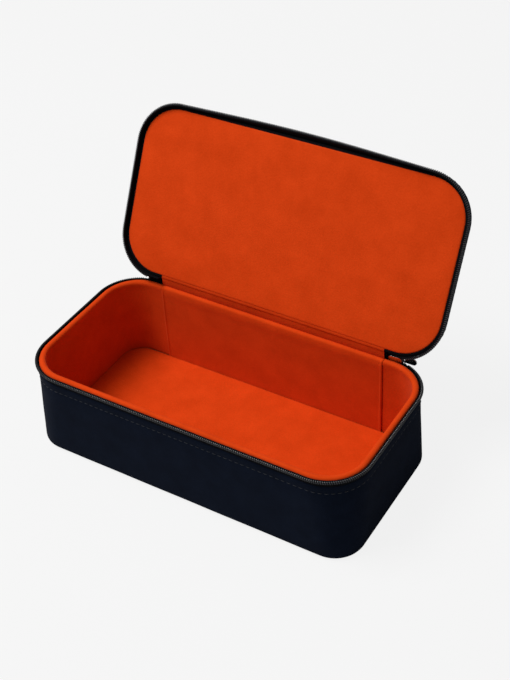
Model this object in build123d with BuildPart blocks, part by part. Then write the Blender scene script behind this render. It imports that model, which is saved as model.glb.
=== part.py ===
from build123d import *
import os

os.makedirs("parts", exist_ok=True)

# Overall sizes of the case, in millimetres
case_length = 240.0
case_width = 118.0
corner_radius = 28.5
foot_corner_radius = 20.0
foot_rounding = 4.0
zip_zone_height = 5.0
hem_height = 9.0
parting_height = 66.0
lid_height = 10.5
lid_rounding = 3.0
lid_hem = 1.5

# Layers of the walls, from the outside in
cover_thickness = 1.0
skived_edge = 0.5
board_thickness = 2.0
padding_thickness = 1.2
lining_thickness = 0.8
hem_width = 9.0

# The padded rim of the tray
rim_inset = 1.3
rim_width = 4.2
rim_rounding = 1.95
rim_above_parting = 0.3

# The zip
tape_thickness = 0.5
tape_inset = 0.1
coil_height = 2.0
coil_outset = 1.1
coil_backing = 1.6
coil_gap = 0.15
tape_show = 2.9

# The lid's lining panel
panel_inset = 2.3
panel_rear_inset = 2.5
panel_recess = 3.2
panel_radius = 26.0
lid_board_inset = 2.0

# The soft hinge
cut_depth = 12.0
strip_end_inset = 6.5
flap_extra = 0.5
hinge_inset = 1.15
hinge_rise = 6.2
open_angle = 117.0
strip_thickness = 0.6
strip_play = 0.3
strip_drop = 1.9

# The slider and its pull
slider_length = 9.5
slider_end_gap = 2.0
slider_height = 6.2
slider_low = 1.95
plate_thickness = 0.8
plate_gap = 1.7
plate_rounding = 2.6
slider_inset = 1.1
slider_taper = 0.6
post_set_back = 0.6
tape_play = 0.1
post_length = 2.4
post_height = 1.8
bridge_length = 5.2
bridge_height = 2.0
bridge_width = 1.6
bridge_wall = 0.7
pull_play = 0.3
pull_length = 15.0
pull_width = 5.0
pull_thickness = 0.8
pull_hole_length = 6.0

# Places that follow from them
half_width = case_width / 2
wall_top = parting_height - zip_zone_height
straight_from = wall_top - hem_height
lining_inset = cover_thickness + board_thickness + padding_thickness
inner_inset = lining_inset + lining_thickness
rim_top = parting_height + rim_above_parting
lid_top = parting_height + lid_height
hinge_y = half_width - hinge_inset
hinge_height = parting_height + hinge_rise
strip_length = case_length - 2 * (corner_radius + strip_end_inset)
hinge_axis = Axis((0, hinge_y, hinge_height), (1, 0, 0))
coil_low = parting_height - coil_gap - coil_height
lid_coil_low = parting_height + coil_gap
lid_band_low = lid_coil_low + coil_height + tape_show
panel_face = parting_height + panel_recess


def outline(inset, radius):
    """A rounded rectangle, as far in from the case's outline as the inset says."""
    return RectangleRounded(case_length - 2 * inset, case_width - 2 * inset, radius - inset)


def tray_block(inset, bottom, top, rounding=0.0):
    """The inside of the tray's walls at an inset: its corners widen up to the hem, and run straight above."""
    widening = corner_radius - foot_corner_radius
    low_radius = foot_corner_radius + widening * bottom / straight_from
    with BuildPart() as block:
        if bottom < straight_from:
            high = min(top, straight_from)
            high_radius = foot_corner_radius + widening * high / straight_from
            with BuildSketch(Plane.XY.offset(bottom)):
                outline(inset, low_radius)
            with BuildSketch(Plane.XY.offset(high)):
                outline(inset, high_radius)
            loft(ruled=True)
            if rounding > 0:
                fillet(block.edges().group_by(Axis.Z)[0], rounding)
        if top > straight_from:
            with BuildSketch(Plane.XY.offset(max(bottom, straight_from))):
                outline(inset, corner_radius)
            extrude(amount=top - max(bottom, straight_from))
    return block.part


def prism(inset, bottom, top):
    """An upright block on the case's outline."""
    with BuildPart() as block:
        with BuildSketch(Plane.XY.offset(bottom)):
            outline(inset, corner_radius)
        extrude(amount=top - bottom)
    return block.part


def ring(outer_inset, inner_inset, bottom, top):
    """An upright band that follows the case's outline."""
    with BuildPart() as band:
        add(prism(outer_inset, bottom, top))
        add(prism(inner_inset, bottom, top), mode=Mode.SUBTRACT)
    return band.part


def rear_box(length, bottom, top):
    """The stretch of the rear wall that the soft hinge takes."""
    with BuildPart() as stretch:
        with BuildSketch(Plane.XY.offset(bottom)):
            with Locations((0, half_width)):
                Rectangle(length, 2 * cut_depth)
        extrude(amount=top - bottom)
    return stretch.part


def finish_part(name, solid):
    """Names one piece and writes it."""
    solid.label = name
    export_step(solid, f"parts/{name}.step")


def lift_lid(solid):
    """Turns a piece that is built with the lid closed into the open lid's place."""
    return solid.rotate(hinge_axis, -open_angle)


# Outer cover of the tray: a wall band turned under the base, thinned where the zip tape is sewn in
with BuildPart() as tray_wall_cover:
    add(tray_block(0, 0, wall_top, foot_rounding))
    add(
        tray_block(cover_thickness, cover_thickness, straight_from, foot_rounding - cover_thickness),
        mode=Mode.SUBTRACT,
    )
    add(tray_block(cover_thickness, straight_from, wall_top), mode=Mode.SUBTRACT)
    add(prism(skived_edge, straight_from, wall_top), mode=Mode.SUBTRACT)
    add(tray_block(hem_width, 0, cover_thickness), mode=Mode.SUBTRACT)
finish_part("tray_wall_cover", tray_wall_cover.part)

with BuildPart() as tray_base_cover:
    add(tray_block(hem_width, 0, cover_thickness))
finish_part("tray_base_cover", tray_base_cover.part)

# Stiff boards: a wall strip bent round the corners and a base
with BuildPart() as tray_wall_board:
    add(tray_block(cover_thickness, cover_thickness, wall_top, foot_rounding - cover_thickness))
    add(tray_block(cover_thickness + board_thickness, cover_thickness, wall_top), mode=Mode.SUBTRACT)
finish_part("tray_wall_board", tray_wall_board.part)

base_top = cover_thickness + board_thickness
with BuildPart() as tray_base_board:
    add(tray_block(cover_thickness + board_thickness, cover_thickness, base_top))
    add(
        tray_block(cover_thickness, cover_thickness, wall_top, foot_rounding - cover_thickness),
        mode=Mode.INTERSECT,
    )
finish_part("tray_base_board", tray_base_board.part)

# Foam between the boards and the lining
with BuildPart() as tray_wall_padding:
    add(tray_block(cover_thickness + board_thickness, base_top, wall_top))
    add(tray_block(lining_inset, base_top, wall_top), mode=Mode.SUBTRACT)
finish_part("tray_wall_padding", tray_wall_padding.part)

floor_face = base_top + padding_thickness
with BuildPart() as tray_floor_padding:
    add(tray_block(lining_inset, base_top, floor_face))
finish_part("tray_floor_padding", tray_floor_padding.part)

rim_core_inset = rim_inset + lining_thickness
rim_core_end = rim_inset + rim_width - lining_thickness
with BuildPart() as tray_rim_padding:
    add(ring(rim_core_inset, rim_core_end, wall_top, rim_top - lining_thickness))
    fillet(
        tray_rim_padding.edges().group_by(Axis.Z)[-1],
        rim_rounding - lining_thickness,
    )
finish_part("tray_rim_padding", tray_rim_padding.part)

# Lining: the wall lining rolls over the padded rim, and a rear flap carries on into the hinge
with BuildPart() as rim_roll:
    add(ring(rim_inset, rim_inset + rim_width, wall_top, rim_top))
    fillet(rim_roll.edges().group_by(Axis.Z)[-1], rim_rounding)

with BuildPart() as wall_lining:
    add(tray_block(lining_inset, floor_face, wall_top))
    add(tray_block(inner_inset, floor_face, wall_top), mode=Mode.SUBTRACT)
    add(rim_roll.part)
    add(tray_rim_padding.part, mode=Mode.SUBTRACT)

with BuildPart() as side_lining:
    add(wall_lining.part)
    add(rear_box(strip_length, floor_face, rim_top), mode=Mode.SUBTRACT)
finish_part("side_lining", side_lining.part)

with BuildPart() as rear_lining:
    add(wall_lining.part)
    with BuildSketch(Plane.XY.offset(floor_face + lining_thickness)):
        with Locations((0, half_width - inner_inset - flap_extra / 2)):
            Rectangle(strip_length, flap_extra)
    extrude(amount=rim_top - rim_rounding - floor_face - lining_thickness)
    add(rear_box(strip_length, floor_face, rim_top), mode=Mode.INTERSECT)
finish_part("rear_lining", rear_lining.part)

with BuildPart() as floor_lining:
    add(tray_block(inner_inset, floor_face, floor_face + lining_thickness))
finish_part("floor_lining", floor_lining.part)

# Zip tape and coil on the tray, open along the rear where the hinge is
zip_end = strip_length / 2
coil_end = zip_end + slider_end_gap + slider_length + coil_gap
tape_back = tape_inset + tape_thickness
with BuildPart() as tray_zip_tape:
    add(ring(skived_edge, skived_edge + tape_thickness, straight_from, wall_top))
    add(ring(tape_inset, tape_back, wall_top, coil_low + coil_backing))
    add(rear_box(2 * coil_end, wall_top + slider_low / 2, parting_height), mode=Mode.SUBTRACT)
    add(rear_box(strip_length, straight_from, parting_height), mode=Mode.SUBTRACT)
finish_part("tray_zip_tape", tray_zip_tape.part)

with BuildPart() as tray_zip_coil:
    add(ring(-coil_outset, tape_inset, coil_low, coil_low + coil_height))
    fillet(tray_zip_coil.edges().group_by(Axis.Z)[-1], coil_outset / 2)
    add(rear_box(2 * coil_end, coil_low, parting_height), mode=Mode.SUBTRACT)
finish_part("tray_zip_coil", tray_zip_coil.part)

# Lid, built closed: a side band, a top panel, boards, foam and the lining panel
lid_seam = lid_top - cover_thickness
with BuildPart() as lid_side_band:
    add(prism(0, lid_band_low, lid_top))
    fillet(lid_side_band.edges().group_by(Axis.Z)[-1], lid_rounding)
    add(prism(cover_thickness, lid_band_low, lid_seam), mode=Mode.SUBTRACT)
    add(prism(lid_rounding, lid_seam, lid_top), mode=Mode.SUBTRACT)
    add(prism(skived_edge, lid_band_low, lid_band_low + lid_hem), mode=Mode.SUBTRACT)
finish_part("lid_side_band", lift_lid(lid_side_band.part))

with BuildPart() as lid_top_cover:
    with BuildSketch(Plane.XY.offset(lid_seam)):
        outline(lid_rounding, corner_radius)
    extrude(amount=cover_thickness)
finish_part("lid_top_cover", lift_lid(lid_top_cover.part))

lid_board_low = lid_seam - board_thickness
with BuildPart() as lid_board:
    with BuildSketch(Plane.XY.offset(lid_board_low)):
        outline(lid_board_inset, corner_radius)
    extrude(amount=board_thickness)
finish_part("lid_board", lift_lid(lid_board.part))

with BuildPart() as lid_wall_board:
    add(ring(cover_thickness, lid_board_inset, panel_face + lining_thickness, lid_board_low))
finish_part("lid_wall_board", lift_lid(lid_wall_board.part))


def panel_outline(extra=0.0):
    """The lining panel's outline, set in further along the hinge."""
    width = case_width - panel_inset - panel_rear_inset
    with Locations((0, (panel_inset - panel_rear_inset) / 2)):
        RectangleRounded(
            case_length - 2 * panel_inset - extra, width - extra, panel_radius - extra / 2
        )


with BuildPart() as lid_padding:
    with BuildSketch(Plane.XY.offset(panel_face + lining_thickness)):
        panel_outline(2 * lining_thickness)
    extrude(amount=lid_board_low - panel_face - lining_thickness)
finish_part("lid_padding", lift_lid(lid_padding.part))

with BuildPart() as lid_lining:
    with BuildSketch(Plane.XY.offset(panel_face)):
        panel_outline()
    extrude(amount=lining_thickness)
    fillet(lid_lining.edges().group_by(Axis.Z)[0], lining_thickness / 2)
finish_part("lid_lining", lift_lid(lid_lining.part))

with BuildPart() as lid_zip_tape:
    add(ring(tape_inset, tape_back, lid_coil_low + coil_height - coil_backing, lid_band_low))
    add(ring(skived_edge, skived_edge + tape_thickness, lid_band_low, lid_band_low + lid_hem))
    add(rear_box(2 * coil_end, parting_height, lid_band_low - slider_low / 2), mode=Mode.SUBTRACT)
    add(rear_box(strip_length, parting_height, lid_top), mode=Mode.SUBTRACT)
finish_part("lid_zip_tape", lift_lid(lid_zip_tape.part))

with BuildPart() as lid_zip_coil:
    add(ring(-coil_outset, tape_inset, lid_coil_low, lid_coil_low + coil_height))
    fillet(lid_zip_coil.edges().group_by(Axis.Z)[0], coil_outset / 2)
    add(rear_box(2 * coil_end, lid_coil_low, lid_top), mode=Mode.SUBTRACT)
finish_part("lid_zip_coil", lift_lid(lid_zip_coil.part))

# Soft hinge: an orange strip inside and a dark strip outside, from the tray's rear edge to the lid's
inner_strip_y = half_width - rim_inset - rim_rounding / 2
inner_strip_top = hinge_height + strip_play
with BuildPart() as hinge_lining_strip:
    with BuildSketch(Plane.YZ):
        with BuildLine():
            Polyline(
                (inner_strip_y, rim_top),
                (inner_strip_y - strip_thickness, rim_top),
                (inner_strip_y - 2 * strip_thickness, inner_strip_top),
                (inner_strip_y - strip_thickness, inner_strip_top),
                close=True,
            )
        make_face()
    extrude(amount=strip_length / 2, both=True)
finish_part("hinge_lining_strip", hinge_lining_strip.part)

outer_strip_top = hinge_height - strip_drop
with BuildPart() as hinge_cover_strip:
    with BuildSketch(Plane.YZ):
        with BuildLine():
            Polyline(
                (half_width - skived_edge, wall_top),
                (half_width, wall_top),
                (half_width, parting_height),
                (hinge_y - strip_play, outer_strip_top),
                (hinge_y - strip_play - strip_thickness, outer_strip_top),
                (half_width - strip_thickness, parting_height - strip_thickness),
                close=True,
            )
        make_face()
    extrude(amount=strip_length / 2, both=True)
finish_part("hinge_cover_strip", hinge_cover_strip.part)


slider_z = wall_top + slider_low + slider_height / 2


def zip_end_tape(start, stop):
    """The joined tapes beyond the hinge, standing between the tray and the lid."""
    foot = half_width - tape_inset
    bend = slider_z + slider_height / 2 + tape_play
    with BuildPart() as gusset:
        with BuildSketch(Plane.YZ.offset(start)):
            with BuildLine():
                Polyline(
                    (foot, wall_top),
                    (foot + tape_thickness, wall_top),
                    (foot + tape_thickness, bend),
                    (hinge_y, outer_strip_top),
                    (hinge_y - tape_thickness, outer_strip_top),
                    (foot, bend),
                    close=True,
                )
            make_face()
        extrude(amount=stop - start)
    return gusset


left_zip_end = zip_end_tape(-coil_end + coil_gap, -zip_end)
finish_part("left_zip_end", left_zip_end.part)

# Slider: two plates round the joined tapes, held by a post through them, and a bridge for the pull
slider_x = zip_end + slider_end_gap + slider_length / 2
inner_plate_y = half_width - slider_inset
post_x = slider_x + slider_length / 2 - post_length / 2 - post_set_back

with BuildPart() as right_zip_end:
    add(zip_end_tape(zip_end, coil_end - coil_gap).part)
    with BuildSketch(Plane.XZ.offset(-inner_plate_y)):
        with Locations((post_x, slider_z)):
            SlotOverall(post_length + 2 * tape_play, post_height + 2 * tape_play)
    extrude(amount=-(plate_gap + 2 * plate_thickness), mode=Mode.SUBTRACT)
finish_part("right_zip_end", right_zip_end.part)


def slider_plate(y):
    """One rounded plate, narrower at its closed end."""
    nose = slider_height - 2 * slider_taper
    with BuildPart() as plate:
        with BuildSketch(Plane.XZ.offset(-y)):
            with BuildLine():
                Polyline(
                    (slider_x - slider_length / 2, slider_z - nose / 2),
                    (slider_x + slider_length / 4, slider_z - slider_height / 2),
                    (slider_x + slider_length / 2, slider_z - slider_height / 2),
                    (slider_x + slider_length / 2, slider_z + slider_height / 2),
                    (slider_x + slider_length / 4, slider_z + slider_height / 2),
                    (slider_x - slider_length / 2, slider_z + nose / 2),
                    close=True,
                )
            make_face()
        extrude(amount=-plate_thickness)
        upright = plate.edges().filter_by(Axis.Y).group_by(Axis.X)
        fillet(upright[-1], plate_rounding)
        fillet(upright[0], plate_rounding / 2)
    return plate.part


outer_plate_y = inner_plate_y + plate_thickness + plate_gap
with BuildPart() as slider_body:
    add(slider_plate(inner_plate_y))
    add(slider_plate(outer_plate_y))
    with BuildSketch(Plane.XZ.offset(-inner_plate_y)):
        with Locations((post_x, slider_z)):
            SlotOverall(post_length, post_height)
    extrude(amount=-(plate_gap + 2 * plate_thickness))
    bridge_foot = outer_plate_y + plate_thickness
    with BuildSketch(Plane.XZ.offset(-bridge_foot)):
        with Locations((slider_x, slider_z)):
            Rectangle(bridge_length, bridge_width)
    extrude(amount=-bridge_height)
    with BuildSketch(Plane.XZ.offset(-bridge_foot)):
        with Locations((slider_x, slider_z)):
            Rectangle(bridge_length - 2 * bridge_wall, bridge_width)
    extrude(amount=-(bridge_height - bridge_wall), mode=Mode.SUBTRACT)
finish_part("slider_body", slider_body.part)

# Pull: a ring end under the bridge and a rounded tab that lies along the slider
bar_centre_y = bridge_foot + pull_play + pull_thickness / 2
bar_x = slider_x - bridge_length / 2 + bridge_wall + pull_play + pull_thickness / 2
hole_width = bridge_width + 2 * pull_play
with BuildPart() as slider_pull:
    with BuildSketch(Plane.XZ.offset(-(bar_centre_y - pull_thickness / 2))):
        with Locations((bar_x - pull_thickness / 2 + pull_length / 2, slider_z)):
            SlotOverall(pull_length, pull_width)
        with Locations((bar_x + pull_thickness / 2 + pull_hole_length / 2, slider_z)):
            Rectangle(pull_hole_length, hole_width, mode=Mode.SUBTRACT)
    extrude(amount=-pull_thickness)
finish_part("slider_pull", slider_pull.part)
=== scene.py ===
"""The looks of a zip-round jewelry case with a dark suede-like cover and an orange lining."""

from math import cos, sin, pi, radians

import bmesh
import bpy
from mathutils import Matrix, Vector, noise


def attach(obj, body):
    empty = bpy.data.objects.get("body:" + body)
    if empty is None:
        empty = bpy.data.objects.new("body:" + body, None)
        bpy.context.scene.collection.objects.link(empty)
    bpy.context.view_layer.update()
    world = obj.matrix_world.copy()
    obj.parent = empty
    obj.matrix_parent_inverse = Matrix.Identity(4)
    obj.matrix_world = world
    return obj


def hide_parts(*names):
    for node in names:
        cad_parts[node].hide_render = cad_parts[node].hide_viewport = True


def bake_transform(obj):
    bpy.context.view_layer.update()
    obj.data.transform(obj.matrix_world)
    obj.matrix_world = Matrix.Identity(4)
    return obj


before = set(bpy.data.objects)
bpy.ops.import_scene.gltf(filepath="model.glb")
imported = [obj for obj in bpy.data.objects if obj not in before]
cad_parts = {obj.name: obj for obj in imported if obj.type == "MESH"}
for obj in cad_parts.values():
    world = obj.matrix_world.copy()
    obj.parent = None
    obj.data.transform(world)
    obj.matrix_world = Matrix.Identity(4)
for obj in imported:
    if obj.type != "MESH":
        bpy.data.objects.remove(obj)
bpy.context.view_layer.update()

MM = 0.001

# The case's sizes, in millimetres, as in the source of the solids
HALF_LENGTH = 120.0
HALF_WIDTH = 59.0
CORNER = 28.5
FOOT_CORNER = 20.0
FOOT_ROUND = 4.0
HEM_WIDE = 9.0
WALL_TOP = 61.0
STRAIGHT_FROM = 52.0
COVER = 1.0
LINING = 0.8
INNER = 5.0
FLOOR = 5.0
RIM_IN = 1.3
RIM_WIDE = 4.2
RIM_TOP = 66.3
LID_TOP = 76.5
LID_BAND_LOW = 71.05
LID_ROUND = 3.0
PANEL_FACE = 69.2
PANEL_INSET = 2.3
PANEL_REAR_INSET = 2.5
PANEL_CORNER = 26.0
STRIP_HALF = 85.0
SLIDER_END = 96.5
HINGE = (57.85, 72.2)
OPEN = radians(117)

# The outline's half runs, its quarter turn and its whole length
SIDE_RUN = HALF_WIDTH - CORNER
LONG_RUN = HALF_LENGTH - CORNER
QUARTER = pi * CORNER / 2
LOOP = 4 * LONG_RUN + 4 * SIDE_RUN + 4 * QUARTER

# The outline's legs from the rear's middle: length, side or corner, and a corner's first angle in degrees
LEGS = [
    (LONG_RUN, (0, 1), None),
    (QUARTER, (1, 1), 90),
    (2 * SIDE_RUN, (1, 0), None),
    (QUARTER, (1, -1), 0),
    (2 * LONG_RUN, (0, -1), None),
    (QUARTER, (-1, -1), -90),
    (2 * SIDE_RUN, (-1, 0), None),
    (QUARTER, (-1, 1), -180),
    (LONG_RUN, (0, 1), None),
]

# How finely the pieces are cut; the step along a run and the gap to a cut end are in millimetres
CORNER_STEPS = 14
RUN_STEP = 6.0
END_GAP = 0.5
LONG_CUTS = 24
SHORT_CUTS = 10
STRIP_COLUMNS = 40
FOOT_STEPS = 7
ROLL_STEPS = 12
LID_EDGE_STEPS = 8

# From which angle an edge is sharp, and how close points are welded, in metres
SHARP_FROM = radians(55)
WELD = 1e-7

# What still counts as a whole loop, in millimetres, and as parallel to an axis
LOOP_SLACK = 1e-6
PARALLEL = 1e-3

# The panels, in millimetres: how far a hidden side steps in, the least corner, gaps, corners and depth
PANEL_FAR_IN = 0.4
PANEL_CORNER_LEAST = 1.0
PANEL_DEEP = 1.6
BASE_CORNER = FOOT_CORNER - HEM_WIDE
FLOOR_CORNER = 15.2
FLOOR_GAP = 0.1
FLOOR_REAR_GAP = 0.7

# Where the padded rim's roll starts under its round, and the hinge cloths' thicknesses, in millimetres
ROLL_FOOT = 0.4
HINGE_LINING_THICK = 0.6
HINGE_COVER_THICK = 0.7

# The rear flap: how far it stands out, its gap to the side lining and its folded edges, in millimetres
FLAP_OUT = 0.55
FLAP_GAP = 0.2
RIDGE = 0.45
RIDGE_IN = 0.9
RIDGE_LOW = 1.0
RIDGE_OUT = -4.5
RIDGE_MARKS = (0.3, 0.6, 0.9, 1.2, 1.5, 1.8, 2.4)

# Where tapes, gussets and the lid's coil end, in millimetres from the rear's middle along the outline
TAPE_START = 97.0
GUSSET_END = 101.0
LID_COIL_END = 95.0

# How far the gussets reach under the outer hinge strip, and the lid's tape stops short of the strips
OVERLAP = 1.2
LID_TAPE_GAP = 1.0

# The wound coils, in millimetres
COIL_PITCH = 1.3
COIL_STEPS = 9
COIL_OUT = 0.68
COIL_TALL = 0.82
COIL_MID = 0.58
COIL_THREAD = 0.34
COIL_SIDES = 5
CORE_SHARE = 0.75
CORE_SIDES = 8
TRAY_COIL_Z = 64.85
LID_COIL_Z = 67.2

# How the lid's free tape leans out, in millimetres
FLARE = 2.8
FLARE_POWER = 1.5
FLARE_RISE = 4.0

# The lock stitches, in millimetres
STITCH_PITCH = 4.0
STITCH_SHARE = 0.62
STITCH_SIDES = 6
STITCH_STEPS = 5
STITCH_THICK = 0.26
STITCH_TIP = 0.45
STITCH_RISE = 0.12
STITCH_FLAT = 0.7
STITCH_OUT = 0.05
STITCH_Z = WALL_TOP - 5.6
LID_STITCH_OUT = 0.06
LID_STITCH_Z = 73.0

# The gussets that join the tapes at the hinge's ends, in millimetres
GUSSET_ROWS = 12
GUSSET_COLUMNS = 12
GUSSET_HALF_THICK = 0.22
GUSSET_FOOT = (-0.25, 60.8)
GUSSET_HEAD = (-0.3, 71.0)
GUSSET_HEAD_DROP = 2.2
GUSSET_FIRST_PULL = Vector((0, 0.45, 7.5))
GUSSET_SECOND_SHARE = 0.7
GUSSET_PUFF = 1.4
GUSSET_LIFT = 0.9
GUSSET_BOW = 4.0
GUSSET_COIL_STEPS = 90
GUSSET_COIL_THREAD = 0.36
GUSSET_COIL_BACK = 0.3
PULL_IN_POWER = 3
HOLD_RAMP = 2.0
HOLD_BACK = 0.5
HOLD_Z = 71.3

# The slider's softened edges
EDGE_ROUND = 0.22
EDGE_SEGMENTS = 3
EDGE_FROM = radians(40)
FLAT_UNDER = radians(3)
METAL_WELD = 1e-6

# What the noise in the cloths and the metal has in common
MOTTLE_DETAIL = 6.0
MOTTLE_ROUGHNESS = 0.6
FIBRE_DETAIL = 4.0
FIBRE_SHARE = 0.35
RAMP_FROM = 0.3
RAMP_TO = 0.7

# The tape's twill
TWILL_DISTORTION = 0.6
TWILL_BUMP = 0.6
TWILL_DEPTH = 0.00015

# The camera, in millimetres and radians, in the case's frame
CAMERA_PLACE = (358.13, -509.95, 600.1)
CAMERA_YAW = 0.5793
CAMERA_PITCH = -0.6875
CAMERA_ROLL = -0.0628
FOCAL_PIXELS = 1288.9
PHOTO_LONG_SIDE = 680
SENSOR = 36.0
CLIP_START = 0.01

# The paper floor as the camera sees it: mostly its own white, so that only a faint shadow stays
PAPER_WHITE = (0.965, 0.965, 0.965)
PAPER_GREY = (0.5, 0.5, 0.5)
PAPER_GLOW = 0.89
PAPER_HALF = 6.0
PAPER_Z = -0.0002

# The light, in metres and watts
SKY_STRENGTH = 0.26
KEY_PLACE = (-0.7, -0.42, 1.65)
KEY_AIM = (0, 0, 0.03)
KEY_SIZE = 0.9
KEY_POWER = 33


def rear_place(s, corner_x):
    """How far a point of the rear lies from the middle; the flap keeps its width down to the floor."""
    if s <= STRIP_HALF:
        return s
    return STRIP_HALF + (corner_x - STRIP_HALF) * (s - STRIP_HALF) / (LONG_RUN - STRIP_HALF)


def place(s, out, z):
    """A point on the case's outline: s runs from the rear's middle towards +X and round."""
    s = s % LOOP
    radius = CORNER
    if z < STRAIGHT_FROM:
        radius = FOOT_CORNER + (CORNER - FOOT_CORNER) * max(z, 0.0) / STRAIGHT_FROM
    cx, cy = HALF_LENGTH - radius, HALF_WIDTH - radius
    last = len(LEGS) - 1
    for number, (length, side, first_angle) in enumerate(LEGS):
        if s <= length or number == last:
            break
        s -= length
    t = min(s / length, 1.0)
    if first_angle is not None:
        angle = radians(first_angle - 90 * t)
        x = side[0] * cx + (radius + out) * cos(angle)
        y = side[1] * cy + (radius + out) * sin(angle)
        return Vector((x, y, z))
    if number == 0:
        return Vector((rear_place(s, cx), HALF_WIDTH + out, z))
    if number == last:
        return Vector((-rear_place(length - s, cx), HALF_WIDTH + out, z))
    if side[0]:
        return Vector((side[0] * (HALF_LENGTH + out), side[0] * cy * (1 - 2 * t), z))
    return Vector((cx * (1 - 2 * t), -HALF_WIDTH - out, z))


def stations(start, stop):
    """Steps along the outline, close together in the corners."""
    marks = [0.0]
    for length, _, first_angle in LEGS:
        count = max(2, round(length / RUN_STEP)) if first_angle is None else CORNER_STEPS
        base = marks[-1]
        marks += [base + length * k / count for k in range(1, count + 1)]
    inside = [m for m in marks if start + END_GAP < m < stop - END_GAP]
    return [start] + inside + [stop]


def ring_quads(first, second, wide):
    """Quads between two rings of points, numbered from first and from second."""
    return [(first + k, first + (k + 1) % wide, second + (k + 1) % wide, second + k) for k in range(wide)]


def section_quads(first, second, wide):
    """Quads between two neighbouring sections, numbered from first and from second."""
    return [(first + k, second + k, second + (k + 1) % wide, first + (k + 1) % wide) for k in range(wide)]


def caps(first, last, wide):
    """The two faces that close a shape at its first and its last ring."""
    return [tuple(first + k for k in range(wide)), tuple(last + k for k in reversed(range(wide)))]


def make_object(name, verts, faces):
    """A mesh object from points in millimetres."""
    mesh = bpy.data.meshes.new(name)
    mesh.from_pydata([tuple(Vector(v) * MM) for v in verts], [], faces)
    bm = bmesh.new()
    bm.from_mesh(mesh)
    bmesh.ops.remove_doubles(bm, verts=bm.verts, dist=WELD)
    bmesh.ops.recalc_face_normals(bm, faces=bm.faces)
    for edge in bm.edges:
        edge.smooth = edge.calc_face_angle(pi) < SHARP_FROM
    bm.to_mesh(mesh)
    bm.free()
    for polygon in mesh.polygons:
        polygon.use_smooth = True
    piece = bpy.data.objects.new(name, mesh)
    bpy.context.scene.collection.objects.link(piece)
    return piece


def sweep(name, profile, start=0.0, stop=LOOP, shift=None, marks=()):
    """A closed profile of (out, z) points carried along the outline; an open stretch is capped."""
    steps = sorted(set(stations(start, stop)) | set(marks))
    whole = abs(stop - start - LOOP) < LOOP_SLACK
    if whole:
        steps = steps[:-1]
    verts, faces = [], []
    wide, count = len(profile), len(steps)
    for s in steps:
        for out, z in profile:
            extra = shift(s, out, z) if shift else 0.0
            verts.append(place(s, out + extra, z))
    for i in range(count if whole else count - 1):
        faces += section_quads(i * wide, (i + 1) % count * wide, wide)
    if not whole:
        faces += caps(0, (count - 1) * wide, wide)
    return make_object(name, verts, faces)


def arc(centre, radius, first, last, steps):
    """Points of a profile's round stretch, angles in degrees."""
    points = []
    for k in range(steps + 1):
        angle = radians(first + (last - first) * k / steps)
        points.append((centre[0] + radius * cos(angle), centre[1] + radius * sin(angle)))
    return points


def to_lid(piece):
    """Turns a piece built with the lid closed into the open lid's place."""
    pivot = Vector((0, HINGE[0] * MM, HINGE[1] * MM))
    turn = Matrix.Translation(pivot) @ Matrix.Rotation(-OPEN, 4, "X") @ Matrix.Translation(-pivot)
    piece.data.transform(turn)
    return piece


def ripple(piece, amount, scale, seed):
    """Lets a soft surface wander a little along its normals."""
    mesh = piece.data
    moves = []
    for v in mesh.vertices:
        value = noise.noise(v.co * scale + Vector((seed, 2 * seed, 0)))
        moves.append(v.normal * (amount * MM * value))
    for v, move in zip(mesh.vertices, moves):
        v.co = v.co + move
    return piece


def panel_ring(half_x, y_low, y_high, radius, z):
    """A rounded rectangle's points, closer together in its corners."""
    corners = []
    for sx, sy, first in ((1, 1, 90), (1, -1, 0), (-1, -1, -90), (-1, 1, -180)):
        cx = sx * (half_x - radius)
        cy = y_high - radius if sy > 0 else y_low + radius
        for k in range(CORNER_STEPS + 1):
            angle = radians(first - 90 * k / CORNER_STEPS)
            corners.append(Vector((cx + radius * cos(angle), cy + radius * sin(angle), z)))
    points = []
    for i, point in enumerate(corners):
        points.append(point)
        after = corners[(i + 1) % len(corners)]
        if (i + 1) % (CORNER_STEPS + 1) == 0:
            cuts = LONG_CUTS if abs(after.x - point.x) > abs(after.y - point.y) else SHORT_CUTS
            points += [point.lerp(after, c / cuts) for c in range(1, cuts)]
    return points


def panel(name, inset, rear_inset, radius, levels, z_far):
    """A flat padded panel: rings step in from its edge, each (inset, height), and close in the middle."""
    verts, faces = [], []
    for step, z in [(PANEL_FAR_IN, z_far)] + levels:
        half_x = HALF_LENGTH - inset - step
        y_low = -HALF_WIDTH + inset + step
        y_high = HALF_WIDTH - rear_inset - step
        points = panel_ring(half_x, y_low, y_high, max(radius - step, PANEL_CORNER_LEAST), z)
        verts += points
    wide = len(points)
    for i in range(len(levels)):
        faces += ring_quads(i * wide, (i + 1) * wide, wide)
    faces.append(tuple(len(levels) * wide + k for k in range(wide)))
    faces.append(tuple(reversed(range(wide))))
    return make_object(name, verts, faces)


def strip(name, line, half_long, thickness):
    """A band of cloth along X whose section follows a line of (y, z) points."""
    points = [Vector((0, y, z)) for y, z in line]
    outer, inner = [], []
    for i, point in enumerate(points):
        before = points[max(i - 1, 0)]
        after = points[min(i + 1, len(points) - 1)]
        along = (after - before).normalized()
        side = Vector((0, along.z, -along.y)) * (thickness / 2)
        outer.append(point + side)
        inner.append(point - side)
    profile = outer + inner[::-1]
    wide = len(profile)
    verts, faces = [], []
    for c in range(STRIP_COLUMNS + 1):
        x = -half_long + 2 * half_long * c / STRIP_COLUMNS
        verts += [Vector((x, p.y, p.z)) for p in profile]
    for c in range(STRIP_COLUMNS):
        faces += section_quads(c * wide, (c + 1) * wide, wide)
    faces += caps(0, STRIP_COLUMNS * wide, wide)
    return make_object(name, verts, faces)


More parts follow.
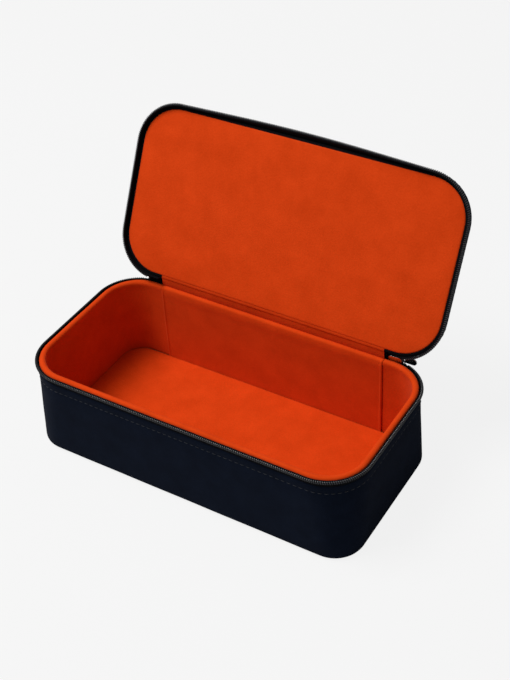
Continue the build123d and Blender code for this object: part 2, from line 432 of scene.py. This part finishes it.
def tube(name, centres, thick, sides):
    """A round thread along a line of points."""
    verts, faces = [], []
    for k, centre in enumerate(centres):
        ahead = centres[min(k + 1, len(centres) - 1)]
        behind = centres[max(k - 1, 0)]
        along = (ahead - behind).normalized()
        first = along.cross(Vector((0, 0, 1)))
        if first.length < PARALLEL:
            first = along.cross(Vector((1, 0, 0)))
        first.normalize()
        second = along.cross(first)
        for n in range(sides):
            angle = 2 * pi * n / sides
            verts.append(centre + first * (thick * cos(angle)) + second * (thick * sin(angle)))
    for k in range(len(centres) - 1):
        faces += ring_quads(k * sides, (k + 1) * sides, sides)
    faces += caps(0, (len(centres) - 1) * sides, sides)
    return make_object(name, verts, faces)


def coil(name, start, stop, z_mid, shift=None):
    """The wound nylon coil along the tape's edge, as one thin tube, and the core that fills it."""
    turns = int((stop - start) / COIL_PITCH)
    centres = []
    for k in range(turns * COIL_STEPS + 1):
        angle = 2 * pi * k / COIL_STEPS
        s = start + COIL_PITCH * k / COIL_STEPS
        extra = shift(s, COIL_MID, z_mid) if shift else 0.0
        out = COIL_MID + extra + COIL_OUT * cos(angle)
        centres.append(place(s, out, z_mid + COIL_TALL * sin(angle)))
    wound = tube(name, centres, COIL_THREAD, COIL_SIDES)
    core = []
    for k in range(CORE_SIDES):
        angle = 2 * pi * k / CORE_SIDES
        out = COIL_MID + CORE_SHARE * COIL_OUT * cos(angle)
        core.append((out, z_mid + CORE_SHARE * COIL_TALL * sin(angle)))
    return wound, sweep(f"{name}_core", core, start, stop, shift)


def stitches(name, out, z):
    """A row of lock stitches round the outline: short rounded threads that dip at their ends."""
    verts, faces = [], []
    for n in range(int(LOOP / STITCH_PITCH)):
        first = len(verts)
        for k in range(STITCH_STEPS + 1):
            t = k / STITCH_STEPS
            s = STITCH_PITCH * n + STITCH_PITCH * STITCH_SHARE * t
            thick = STITCH_THICK * (STITCH_TIP + (1 - STITCH_TIP) * sin(pi * t))
            middle = out + STITCH_RISE * sin(pi * t)
            for m in range(STITCH_SIDES):
                angle = 2 * pi * m / STITCH_SIDES
                verts.append(place(s, middle + thick * cos(angle) * STITCH_FLAT, z + thick * sin(angle)))
        for k in range(STITCH_STEPS):
            here = first + k * STITCH_SIDES
            faces += ring_quads(here, here + STITCH_SIDES, STITCH_SIDES)
        faces += caps(first, first + STITCH_STEPS * STITCH_SIDES, STITCH_SIDES)
    return make_object(name, verts, faces)


def new_material(name, roughness, metallic=0.0, sheen=0.0):
    """A node material and its main shader."""
    material = bpy.data.materials.new(name)
    material.use_nodes = True
    shader = material.node_tree.nodes["Principled BSDF"]
    shader.inputs["Roughness"].default_value = roughness
    shader.inputs["Metallic"].default_value = metallic
    shader.inputs["Sheen Weight"].default_value = sheen
    return material, shader


def grain(material, shader, low, high, mottle, fibre, depth, bump_size):
    """Mottled colour and a fibre bump, both from noise in the piece's own coordinates."""
    tree = material.node_tree
    nodes, links = tree.nodes, tree.links
    place_node = nodes.new("ShaderNodeTexCoord")
    broad = nodes.new("ShaderNodeTexNoise")
    broad.inputs["Scale"].default_value = mottle
    broad.inputs["Detail"].default_value = MOTTLE_DETAIL
    broad.inputs["Roughness"].default_value = MOTTLE_ROUGHNESS
    fine = nodes.new("ShaderNodeTexNoise")
    fine.inputs["Scale"].default_value = fibre
    fine.inputs["Detail"].default_value = FIBRE_DETAIL
    mix = nodes.new("ShaderNodeMix")
    mix.data_type = "FLOAT"
    mix.inputs[0].default_value = FIBRE_SHARE
    ramp = nodes.new("ShaderNodeValToRGB")
    ramp.color_ramp.elements[0].position = RAMP_FROM
    ramp.color_ramp.elements[1].position = RAMP_TO
    ramp.color_ramp.elements[0].color = (*low, 1)
    ramp.color_ramp.elements[1].color = (*high, 1)
    bump = nodes.new("ShaderNodeBump")
    bump.inputs["Strength"].default_value = depth
    bump.inputs["Distance"].default_value = bump_size
    links.new(place_node.outputs["Object"], broad.inputs["Vector"])
    links.new(place_node.outputs["Object"], fine.inputs["Vector"])
    links.new(broad.outputs["Fac"], mix.inputs[2])
    links.new(fine.outputs["Fac"], mix.inputs[3])
    links.new(mix.outputs[0], ramp.inputs["Fac"])
    links.new(ramp.outputs["Color"], shader.inputs["Base Color"])
    links.new(fine.outputs["Fac"], bump.inputs["Height"])
    links.new(bump.outputs["Normal"], shader.inputs["Normal"])


def weave(material, shader, low, high, scale):
    """A fine twill: two crossed wave patterns, in colour and in bump."""
    tree = material.node_tree
    nodes, links = tree.nodes, tree.links
    place_node = nodes.new("ShaderNodeTexCoord")
    waves = []
    for direction in ("DIAGONAL", "Z"):
        wave = nodes.new("ShaderNodeTexWave")
        wave.bands_direction = direction
        wave.inputs["Scale"].default_value = scale
        wave.inputs["Distortion"].default_value = TWILL_DISTORTION
        links.new(place_node.outputs["Object"], wave.inputs["Vector"])
        waves.append(wave)
    both = nodes.new("ShaderNodeMath")
    both.operation = "MULTIPLY"
    links.new(waves[0].outputs["Fac"], both.inputs[0])
    links.new(waves[1].outputs["Fac"], both.inputs[1])
    ramp = nodes.new("ShaderNodeValToRGB")
    ramp.color_ramp.elements[0].color = (*low, 1)
    ramp.color_ramp.elements[1].color = (*high, 1)
    bump = nodes.new("ShaderNodeBump")
    bump.inputs["Strength"].default_value = TWILL_BUMP
    bump.inputs["Distance"].default_value = TWILL_DEPTH
    links.new(both.outputs[0], ramp.inputs["Fac"])
    links.new(ramp.outputs["Color"], shader.inputs["Base Color"])
    links.new(both.outputs[0], bump.inputs["Height"])
    links.new(bump.outputs["Normal"], shader.inputs["Normal"])


def cover_material():
    """Near-black navy suede cloth."""
    material, shader = new_material("navy_suede", roughness=0.9, sheen=0.012)
    shader.inputs["Sheen Roughness"].default_value = 0.5
    shader.inputs["Specular IOR Level"].default_value = 0.05
    grain(
        material, shader, low=(0.002, 0.0042, 0.0115), high=(0.0046, 0.0085, 0.0205),
        mottle=90, fibre=1600, depth=0.5, bump_size=0.0002,
    )
    return material


def lining_material():
    """Orange brushed microsuede."""
    material, shader = new_material("orange_suede", roughness=0.9, sheen=0.07)
    shader.inputs["Sheen Roughness"].default_value = 0.4
    shader.inputs["Sheen Tint"].default_value = (1, 0.6, 0.4, 1)
    shader.inputs["Specular IOR Level"].default_value = 0.04
    grain(
        material, shader, low=(0.53, 0.04, 0.003), high=(0.68, 0.056, 0.006),
        mottle=60, fibre=950, depth=0.5, bump_size=0.0003,
    )
    return material


def tape_material():
    """Black woven zip tape."""
    material, shader = new_material("zip_tape", roughness=0.75)
    shader.inputs["Specular IOR Level"].default_value = 0.04
    weave(material, shader, low=(0.0025, 0.0026, 0.0035), high=(0.009, 0.009, 0.0115), scale=900)
    return material


def coil_material():
    """Dark nylon with a soft gloss."""
    material, shader = new_material("nylon_coil", roughness=0.35)
    shader.inputs["Specular IOR Level"].default_value = 0.5
    grain(
        material, shader, low=(0.024, 0.024, 0.027), high=(0.05, 0.05, 0.055),
        mottle=200, fibre=2500, depth=0.1, bump_size=0.00005,
    )
    return material


def thread_material():
    """Navy sewing thread, a little lighter than the cover."""
    material, shader = new_material("thread", roughness=0.6)
    grain(
        material, shader, low=(0.004, 0.006, 0.012), high=(0.011, 0.015, 0.026),
        mottle=300, fibre=4000, depth=0.4, bump_size=0.0001,
    )
    return material


def metal_material():
    """Polished plated metal with faint hairlines."""
    material, shader = new_material("plated_metal", roughness=0.14, metallic=1.0)
    grain(
        material, shader, low=(0.62, 0.6, 0.58), high=(0.78, 0.76, 0.74),
        mottle=400, fibre=3000, depth=0.05, bump_size=0.00003,
    )
    return material


def board_material():
    """Grey board with loose fibres."""
    material, shader = new_material("grey_board", roughness=0.9)
    grain(
        material, shader, low=(0.2, 0.18, 0.15), high=(0.34, 0.31, 0.27),
        mottle=120, fibre=900, depth=0.3, bump_size=0.0002,
    )
    return material


COVER_CLOTH = cover_material()
LINING_CLOTH = lining_material()
TAPE_CLOTH = tape_material()
NYLON = coil_material()
THREAD = thread_material()
METAL = metal_material()
BOARD = board_material()


def dress(piece, material, body, slot, *nodes):
    """Gives a finished piece its material and body, and hides the nodes that it stands for; the slot is not
    used.
    """
    piece.data.materials.clear()
    piece.data.materials.append(material)
    if body:
        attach(piece, body)
    if nodes:
        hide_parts(*nodes)
    return piece


def tray_cover():
    """The outer wall cover, turned in over its top edge and under the base."""
    profile = [(-0.5, WALL_TOP - 0.15), (-0.15, WALL_TOP), (0.0, WALL_TOP - 0.3)]
    profile += [(0.12, WALL_TOP - 2.5), (0.05, WALL_TOP - 5.0), (-0.08, STITCH_Z), (0.06, WALL_TOP - 6.4)]
    profile += [(0.1, 44), (0.15, 30), (0.05, 15)]
    profile += arc((-FOOT_ROUND, FOOT_ROUND), FOOT_ROUND, 0, -90, FOOT_STEPS)
    profile += [(-HEM_WIDE, 0.0), (-HEM_WIDE, COVER), (-3.6, COVER), (-1.9, 2.0)]
    profile += [(-COVER, 4.2), (-COVER, STRAIGHT_FROM), (-0.5, STRAIGHT_FROM + 0.2)]
    piece = sweep("tray_cover", profile)
    ripple(piece, amount=0.12, scale=30, seed=3)
    dress(piece, COVER_CLOTH, "tray", "cover", "tray_wall_cover")


def base_cover():
    """The base panel, a little crowned inwards so that only its seam touches the ground."""
    levels = [(0.0, 0.05), (0.8, 0.0), (3.0, 0.0), (4.0, 0.12), (5.0, 0.02), (12, 0.0), (30, 0.0), (38, 0.0)]
    piece = panel("base_panel", HEM_WIDE, HEM_WIDE, BASE_CORNER, levels, COVER)
    dress(piece, COVER_CLOTH, "tray", "cover", "tray_base_cover")


def tray_sewing():
    """The stitch row round the tray's top edge."""
    piece = stitches("tray_stitches", STITCH_OUT, STITCH_Z)
    dress(piece, THREAD, "tray", "cover")


def rim_profile(extra=0.0):
    """The lining's section: the wall, then the padded rim, with the fold beside the tape."""
    inner = -INNER - extra
    rim_mid = -RIM_IN - RIM_WIDE / 2
    top_round = RIM_WIDE / 2
    roll = arc((rim_mid, RIM_TOP - top_round), top_round, 180, 0, ROLL_STEPS)
    roll[0] = (-RIM_IN - RIM_WIDE, RIM_TOP - top_round - ROLL_FOOT)
    section = [(inner, FLOOR - LINING), (inner, 20), (inner, 40), (inner, 54)]
    section += [(inner - 0.05, 59.5), (inner - 0.3, 62)]
    section += roll
    section += [(-RIM_IN, 62.0), (-RIM_IN, WALL_TOP + 0.1), (-2.2, WALL_TOP + 0.1), (-2.4, 63.5)]
    section += [(-4.0, 63.5), (-4.2, 59.5), (-4.2, 40), (-4.2, 20), (-4.2, FLOOR - LINING)]
    return section


def side_lining():
    """The wall lining and padded rim round the front and both sides."""
    start = STRIP_HALF + FLAP_GAP
    piece = sweep("side_lining_cloth", rim_profile(), start, LOOP - STRIP_HALF - FLAP_GAP)
    ripple(piece, amount=0.35, scale=28, seed=5)
    dress(piece, LINING_CLOTH, "tray", "lining", "side_lining", "tray_rim_padding", "tray_wall_padding")


def flap_ridge(s, out, z):
    """The folded edges of the flap stand up in a thin ridge."""
    from_end = min(s - (LOOP - STRIP_HALF), LOOP + STRIP_HALF - s)
    if out > RIDGE_OUT and z < RIM_TOP - RIDGE_LOW:
        return 0.0
    return -RIDGE * max(0.0, 1.0 - abs(from_end - RIDGE_IN) / RIDGE_IN)


def rear_lining():
    """The rear flap over the rim, standing a little proud of the side lining."""
    first, last = LOOP - STRIP_HALF, LOOP + STRIP_HALF
    marks = [first + step for step in RIDGE_MARKS] + [last - step for step in RIDGE_MARKS]
    piece = sweep("rear_lining_cloth", rim_profile(FLAP_OUT), first, last, flap_ridge, marks)
    ripple(piece, amount=0.3, scale=28, seed=9)
    dress(piece, LINING_CLOTH, "tray", "lining", "rear_lining")


def floor_lining():
    """The wrapped floor panel, softly rounded at its edge."""
    levels = [(0.0, FLOOR - 0.5), (0.25, FLOOR - 0.15), (0.8, FLOOR), (3, FLOOR + 0.12), (9, FLOOR + 0.2)]
    levels += [(18, FLOOR + 0.22), (30, FLOOR + 0.2), (42, FLOOR + 0.2)]
    inset, rear_inset = INNER + FLOOR_GAP, INNER + FLOOR_REAR_GAP
    piece = panel("floor_lining_cloth", inset, rear_inset, FLOOR_CORNER, levels, FLOOR - LINING)
    ripple(piece, amount=0.1, scale=25, seed=11)
    dress(piece, LINING_CLOTH, "tray", "lining", "floor_lining", "tray_floor_padding")


def tray_zip():
    """Tape and coil on the tray."""
    tape = [(-0.6, STRAIGHT_FROM + 1), (-0.6, WALL_TOP), (-0.1, WALL_TOP + 0.2), (0.0, 63.6), (0.0, 65.9)]
    tape += [(-0.5, 65.9), (-0.5, 63.6), (-0.6, WALL_TOP + 0.2), (-1.0, WALL_TOP), (-1.0, STRAIGHT_FROM + 1)]
    piece = sweep("tray_tape", tape, TAPE_START, LOOP - TAPE_START)
    dress(piece, TAPE_CLOTH, "tray", "tape", "tray_zip_tape")
    teeth, core = coil("tray_coil", GUSSET_END, LOOP - GUSSET_END, TRAY_COIL_Z)
    dress(teeth, NYLON, "tray", "coil", "tray_zip_coil")
    dress(core, TAPE_CLOTH, "tray", "coil")


def lid_cover():
    """The lid's side band and top."""
    profile = [(-0.5, LID_BAND_LOW + 0.1), (-0.1, LID_BAND_LOW), (0.0, LID_BAND_LOW + 0.4), (0.1, 72.6)]
    profile += arc((-LID_ROUND, LID_TOP - LID_ROUND), LID_ROUND, 0, 90, LID_EDGE_STEPS)
    profile += [(-LID_ROUND, LID_TOP - COVER), (-2.2, 75.3), (-COVER, 74.0), (-COVER, 72.6)]
    band = to_lid(ripple(sweep("lid_band", profile), amount=0.1, scale=30, seed=13))
    dress(band, COVER_CLOTH, "lid", "cover", "lid_side_band")
    levels = [(0.0, LID_TOP - 0.05), (0.5, LID_TOP), (2, LID_TOP + 0.1), (8, LID_TOP + 0.3)]
    levels += [(20, LID_TOP + 0.4), (32, LID_TOP + 0.4), (45, LID_TOP + 0.4)]
    top = panel("lid_top", LID_ROUND, LID_ROUND, CORNER - LID_ROUND, levels, LID_TOP - COVER)
    dress(to_lid(top), COVER_CLOTH, "lid", "cover", "lid_top_cover")


def lid_flare(s, out, z):
    """How far the lid's tape leans out along the far edge, where nothing holds it."""
    t = abs(s - LOOP / 2) / (LONG_RUN + QUARTER / 2)
    lean = max(0.0, cos(min(t, 1.0) * pi / 2)) ** FLARE_POWER
    rise = max(0.0, min(1.0, (LID_BAND_LOW - z) / FLARE_RISE))
    return FLARE * lean * rise


def lid_zip():
    """Tape and coil on the lid."""
    tape = [(0.0, 66.2), (0.0, 69.0), (-0.1, LID_BAND_LOW - 0.2), (-0.6, LID_BAND_LOW), (-0.6, 72.4)]
    tape += [(-1.0, 72.4), (-1.0, LID_BAND_LOW), (-0.6, LID_BAND_LOW - 0.2), (-0.5, 69.0), (-0.5, 66.2)]
    piece = to_lid(sweep("lid_tape", tape, TAPE_START, LOOP - STRIP_HALF - LID_TAPE_GAP, lid_flare))
    dress(piece, TAPE_CLOTH, "lid", "tape", "lid_zip_tape")
    teeth, core = coil("lid_coil", GUSSET_END, LOOP - LID_COIL_END, LID_COIL_Z, lid_flare)
    dress(to_lid(teeth), NYLON, "lid", "coil", "lid_zip_coil")
    dress(to_lid(core), TAPE_CLOTH, "lid", "coil")


def lid_sewing():
    """The stitch row round the lid's band."""
    piece = to_lid(stitches("lid_stitches", LID_STITCH_OUT, LID_STITCH_Z))
    dress(piece, THREAD, "lid", "cover")


def lid_liner():
    """The narrow strip round the panel: dark along the free edges, orange along the hinge."""
    liner = [(-0.62, 71.2), (-0.62, PANEL_FACE + 0.7), (-1.0, PANEL_FACE + 0.3), (-3.4, PANEL_FACE + 0.5)]
    liner += [(-3.4, 71.2)]
    dark = to_lid(sweep("lid_inner_tape", liner, STRIP_HALF, LOOP - STRIP_HALF))
    dress(dark, TAPE_CLOTH, "lid", "tape")
    turn_in = to_lid(sweep("lid_rear_turn_in", liner, LOOP - STRIP_HALF, LOOP + STRIP_HALF))
    dress(turn_in, LINING_CLOTH, "lid", "lining")


def lid_lining():
    """The padded panel inside the lid."""
    levels = [(0.0, PANEL_FACE + 0.7), (0.15, PANEL_FACE + 0.3), (0.6, PANEL_FACE + 0.05), (1.4, PANEL_FACE)]
    levels += [(4, PANEL_FACE - 0.1), (9, PANEL_FACE - 0.15), (18, PANEL_FACE - 0.2), (30, PANEL_FACE - 0.2)]
    levels += [(44, PANEL_FACE - 0.2)]
    back = PANEL_FACE + PANEL_DEEP
    piece = panel("lid_lining_cloth", PANEL_INSET, PANEL_REAR_INSET, PANEL_CORNER, levels, back)
    ripple(piece, amount=0.18, scale=22, seed=17)
    dress(to_lid(piece), LINING_CLOTH, "lid", "lining", "lid_lining", "lid_padding")


def hinge_strips():
    """The cloth that joins tray and lid: an orange strip inside and a dark one outside."""
    line = [(57.0, 65.2), (56.5, 66.4), (56.25, 67.6), (56.1, 69.2), (56.1, 70.8), (56.2, 72.4), (56.5, 73.9)]
    inner = strip("hinge_lining", line, STRIP_HALF, HINGE_LINING_THICK)
    ripple(inner, amount=0.25, scale=40, seed=21)
    dress(inner, LINING_CLOTH, None, "lining", "hinge_lining_strip")
    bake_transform(inner)
    line = [(58.8, 59.5), (58.9, 61.4), (58.95, 64.0), (58.7, 66.5), (58.2, 68.8), (57.7, 70.2), (57.4, 71.0)]
    outer = strip("hinge_cover", line, STRIP_HALF + OVERLAP, HINGE_COVER_THICK)
    dress(outer, COVER_CLOTH, None, "cover", "hinge_cover_strip")
    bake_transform(outer)


def lid_point(s, out, z):
    """A point of the closed lid's outline, carried to the open lid's place."""
    point = place(s, out, z)
    y, up = point.y - HINGE[0], point.z - HINGE[1]
    y_open = HINGE[0] + y * cos(OPEN) + up * sin(OPEN)
    z_open = HINGE[1] - y * sin(OPEN) + up * cos(OPEN)
    return Vector((point.x, y_open, z_open))


def gusset_point(side, s, t):
    """A point of the joined tapes between the tray's edge and the lid's."""
    along = s if side > 0 else LOOP - s
    reach = min(max((s - STRIP_HALF) / (TAPE_START - STRIP_HALF), 0.0), 1.0)
    low = place(along, *GUSSET_FOOT)
    high = lid_point(along, GUSSET_HEAD[0], GUSSET_HEAD[1] - GUSSET_HEAD_DROP * reach)
    first = low + GUSSET_FIRST_PULL
    second = low.lerp(high, GUSSET_SECOND_SHARE) + Vector((0, GUSSET_PUFF * (1 - reach), GUSSET_LIFT))
    if side > 0:
        held = min(max((SLIDER_END + HOLD_RAMP - s) / HOLD_RAMP, 0.0), 1.0)
        second = second.lerp(Vector((second.x, low.y + HOLD_BACK, HOLD_Z)), held)
    u = 1 - t
    return low * u ** 3 + first * (3 * u * u * t) + second * (3 * u * t * t) + high * t ** 3


def gusset_edge(t):
    """Where the joined tapes' free edge runs along the outline."""
    return GUSSET_END - GUSSET_BOW * sin(pi * t)


def gusset_tape(side, node):
    """The joined tapes at one end of the hinge."""
    rows, columns = GUSSET_ROWS, GUSSET_COLUMNS
    verts, faces = [], []
    for face in (-1, 1):
        for i in range(rows + 1):
            t = i / rows
            end = gusset_edge(t)
            for j in range(columns + 1):
                s = STRIP_HALF - OVERLAP + (end - STRIP_HALF + OVERLAP) * j / columns
                verts.append(gusset_point(side, s, t) + Vector((0, face * GUSSET_HALF_THICK, 0)))
    wide, layer = columns + 1, (rows + 1) * (columns + 1)
    for i in range(rows):
        for j in range(columns):
            a, b = i * wide + j, i * wide + j + 1
            faces.append((a, b, b + wide, a + wide))
            faces.append((a + layer, a + wide + layer, b + wide + layer, b + layer))
    border = list(range(wide))
    border += [i * wide + columns for i in range(1, rows + 1)]
    border += [rows * wide + j for j in range(columns - 1, -1, -1)]
    border += [i * wide for i in range(rows - 1, 0, -1)]
    for k, a in enumerate(border):
        b = border[(k + 1) % len(border)]
        faces.append((a, a + layer, b + layer, b))
    tape = make_object(f"{node}_tape", verts, faces)
    dress(tape, TAPE_CLOTH, None, "tape", node)
    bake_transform(tape)


def gusset_coil(side, node):
    """The coil along the joined tapes' free edge, from the tray's coil to the lid's."""
    tray_end = GUSSET_END if side > 0 else LOOP - GUSSET_END
    lid_end = GUSSET_END if side > 0 else LOOP - LID_COIL_END
    low_end = place(tray_end, COIL_MID, TRAY_COIL_Z)
    high_end = lid_point(lid_end, COIL_MID, LID_COIL_Z)
    line = []
    for k in range(GUSSET_COIL_STEPS + 1):
        t = k / GUSSET_COIL_STEPS
        pull_in = abs(2 * t - 1) ** PULL_IN_POWER
        nearest = low_end if t < 0.5 else high_end
        centre = gusset_point(side, gusset_edge(t), t).lerp(nearest, pull_in)
        angle = 2 * pi * k / COIL_STEPS
        wind = (side * COIL_OUT * cos(angle), COIL_OUT * sin(angle) + GUSSET_COIL_BACK, 0)
        line.append(centre + Vector(wind))
    teeth = tube(f"{node}_coil", line, GUSSET_COIL_THREAD, COIL_SIDES)
    dress(teeth, NYLON, None, "coil")
    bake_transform(teeth)


def gussets():
    """The zip's two joined ends."""
    for side, node in ((-1, "left_zip_end"), (1, "right_zip_end")):
        gusset_tape(side, node)
        gusset_coil(side, node)


def slider_pieces():
    """The slider and its pull: the solids' own shapes with softened edges."""
    for node, body in (("slider_body", "tray"), ("slider_pull", "zip_pull")):
        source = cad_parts[node]
        piece = bpy.data.objects.new(f"{node}_metal", source.data.copy())
        bpy.context.scene.collection.objects.link(piece)
        bm = bmesh.new()
        bm.from_mesh(piece.data)
        bmesh.ops.remove_doubles(bm, verts=bm.verts, dist=METAL_WELD)
        bmesh.ops.dissolve_limit(bm, angle_limit=FLAT_UNDER, verts=bm.verts, edges=bm.edges)
        bm.to_mesh(piece.data)
        bm.free()
        soften = piece.modifiers.new("soften", "BEVEL")
        soften.width = EDGE_ROUND * MM
        soften.segments = EDGE_SEGMENTS
        soften.limit_method = "ANGLE"
        soften.angle_limit = EDGE_FROM
        dress(piece, METAL, body, "slider", node)


def boards():
    """The stiffeners keep their solids."""
    for node in ("tray_wall_board", "tray_base_board", "lid_board", "lid_wall_board"):
        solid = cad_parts[node]
        solid.data.materials.clear()
        solid.data.materials.append(BOARD)


def make_camera():
    """The photograph's camera."""
    ahead = Vector((
        -sin(CAMERA_YAW) * cos(CAMERA_PITCH), cos(CAMERA_YAW) * cos(CAMERA_PITCH), sin(CAMERA_PITCH),
    ))
    right = Vector((cos(CAMERA_YAW), sin(CAMERA_YAW), 0))
    up = right.cross(ahead)
    turned_right = right * cos(CAMERA_ROLL) + up * sin(CAMERA_ROLL)
    turned_up = up * cos(CAMERA_ROLL) - right * sin(CAMERA_ROLL)
    data = bpy.data.cameras.new("camera")
    data.sensor_width = SENSOR
    data.lens = FOCAL_PIXELS / PHOTO_LONG_SIDE * SENSOR
    data.clip_start = CLIP_START
    camera = bpy.data.objects.new("camera", data)
    axes = Matrix((turned_right, turned_up, -ahead)).transposed().to_4x4()
    camera.matrix_world = Matrix.Translation(Vector(CAMERA_PLACE) * MM) @ axes
    bpy.context.scene.collection.objects.link(camera)
    bpy.context.scene.camera = camera


def make_floor():
    """A wide pale floor."""
    corners = [(x * PAPER_HALF, y * PAPER_HALF, 0) for x, y in ((-1, -1), (1, -1), (1, 1), (-1, 1))]
    mesh = bpy.data.meshes.new("floor")
    mesh.from_pydata(corners, [], [(0, 1, 2, 3)])
    floor = bpy.data.objects.new("floor", mesh)
    bpy.context.scene.collection.objects.link(floor)
    floor.location.z = PAPER_Z
    material, shader = new_material("floor", roughness=1.0)
    shader.inputs["Base Color"].default_value = (*PAPER_GREY, 1)
    shader.inputs["Specular IOR Level"].default_value = 0.0
    tree = material.node_tree
    path = tree.nodes.new("ShaderNodeLightPath")
    share = tree.nodes.new("ShaderNodeMath")
    share.operation = "MULTIPLY"
    share.inputs[1].default_value = PAPER_GLOW
    glow = tree.nodes.new("ShaderNodeEmission")
    glow.inputs["Color"].default_value = (*PAPER_WHITE, 1)
    blend = tree.nodes.new("ShaderNodeMixShader")
    tree.links.new(path.outputs["Is Camera Ray"], share.inputs[0])
    tree.links.new(share.outputs[0], blend.inputs[0])
    tree.links.new(shader.outputs[0], blend.inputs[1])
    tree.links.new(glow.outputs[0], blend.inputs[2])
    tree.links.new(blend.outputs[0], tree.nodes["Material Output"].inputs["Surface"])
    floor.data.materials.append(material)


def make_world():
    """A pale world that the camera sees as white."""
    world = bpy.data.worlds.new("world")
    bpy.context.scene.world = world
    world.use_nodes = True
    tree = world.node_tree
    lit = tree.nodes["Background"]
    lit.inputs["Color"].default_value = (1, 1, 1, 1)
    lit.inputs["Strength"].default_value = SKY_STRENGTH
    seen = tree.nodes.new("ShaderNodeBackground")
    seen.inputs["Color"].default_value = (*PAPER_WHITE, 1)
    path = tree.nodes.new("ShaderNodeLightPath")
    blend = tree.nodes.new("ShaderNodeMixShader")
    tree.links.new(path.outputs["Is Camera Ray"], blend.inputs[0])
    tree.links.new(lit.outputs[0], blend.inputs[1])
    tree.links.new(seen.outputs[0], blend.inputs[2])
    tree.links.new(blend.outputs[0], tree.nodes["World Output"].inputs["Surface"])


def make_key():
    """A broad soft lamp from the left and above."""
    data = bpy.data.lights.new("key", "AREA")
    data.size = KEY_SIZE
    data.energy = KEY_POWER
    lamp = bpy.data.objects.new("key", data)
    lamp.location = KEY_PLACE
    lamp.rotation_euler = (Vector(KEY_AIM) - Vector(KEY_PLACE)).to_track_quat("-Z", "Y").to_euler()
    bpy.context.scene.collection.objects.link(lamp)


tray_cover()
base_cover()
tray_sewing()
side_lining()
rear_lining()
floor_lining()
tray_zip()
lid_cover()
lid_zip()
lid_sewing()
lid_liner()
lid_lining()
hinge_strips()
gussets()
slider_pieces()
boards()
make_camera()
make_floor()
make_world()
make_key()
bpy.context.scene.view_settings.view_transform = "Standard"
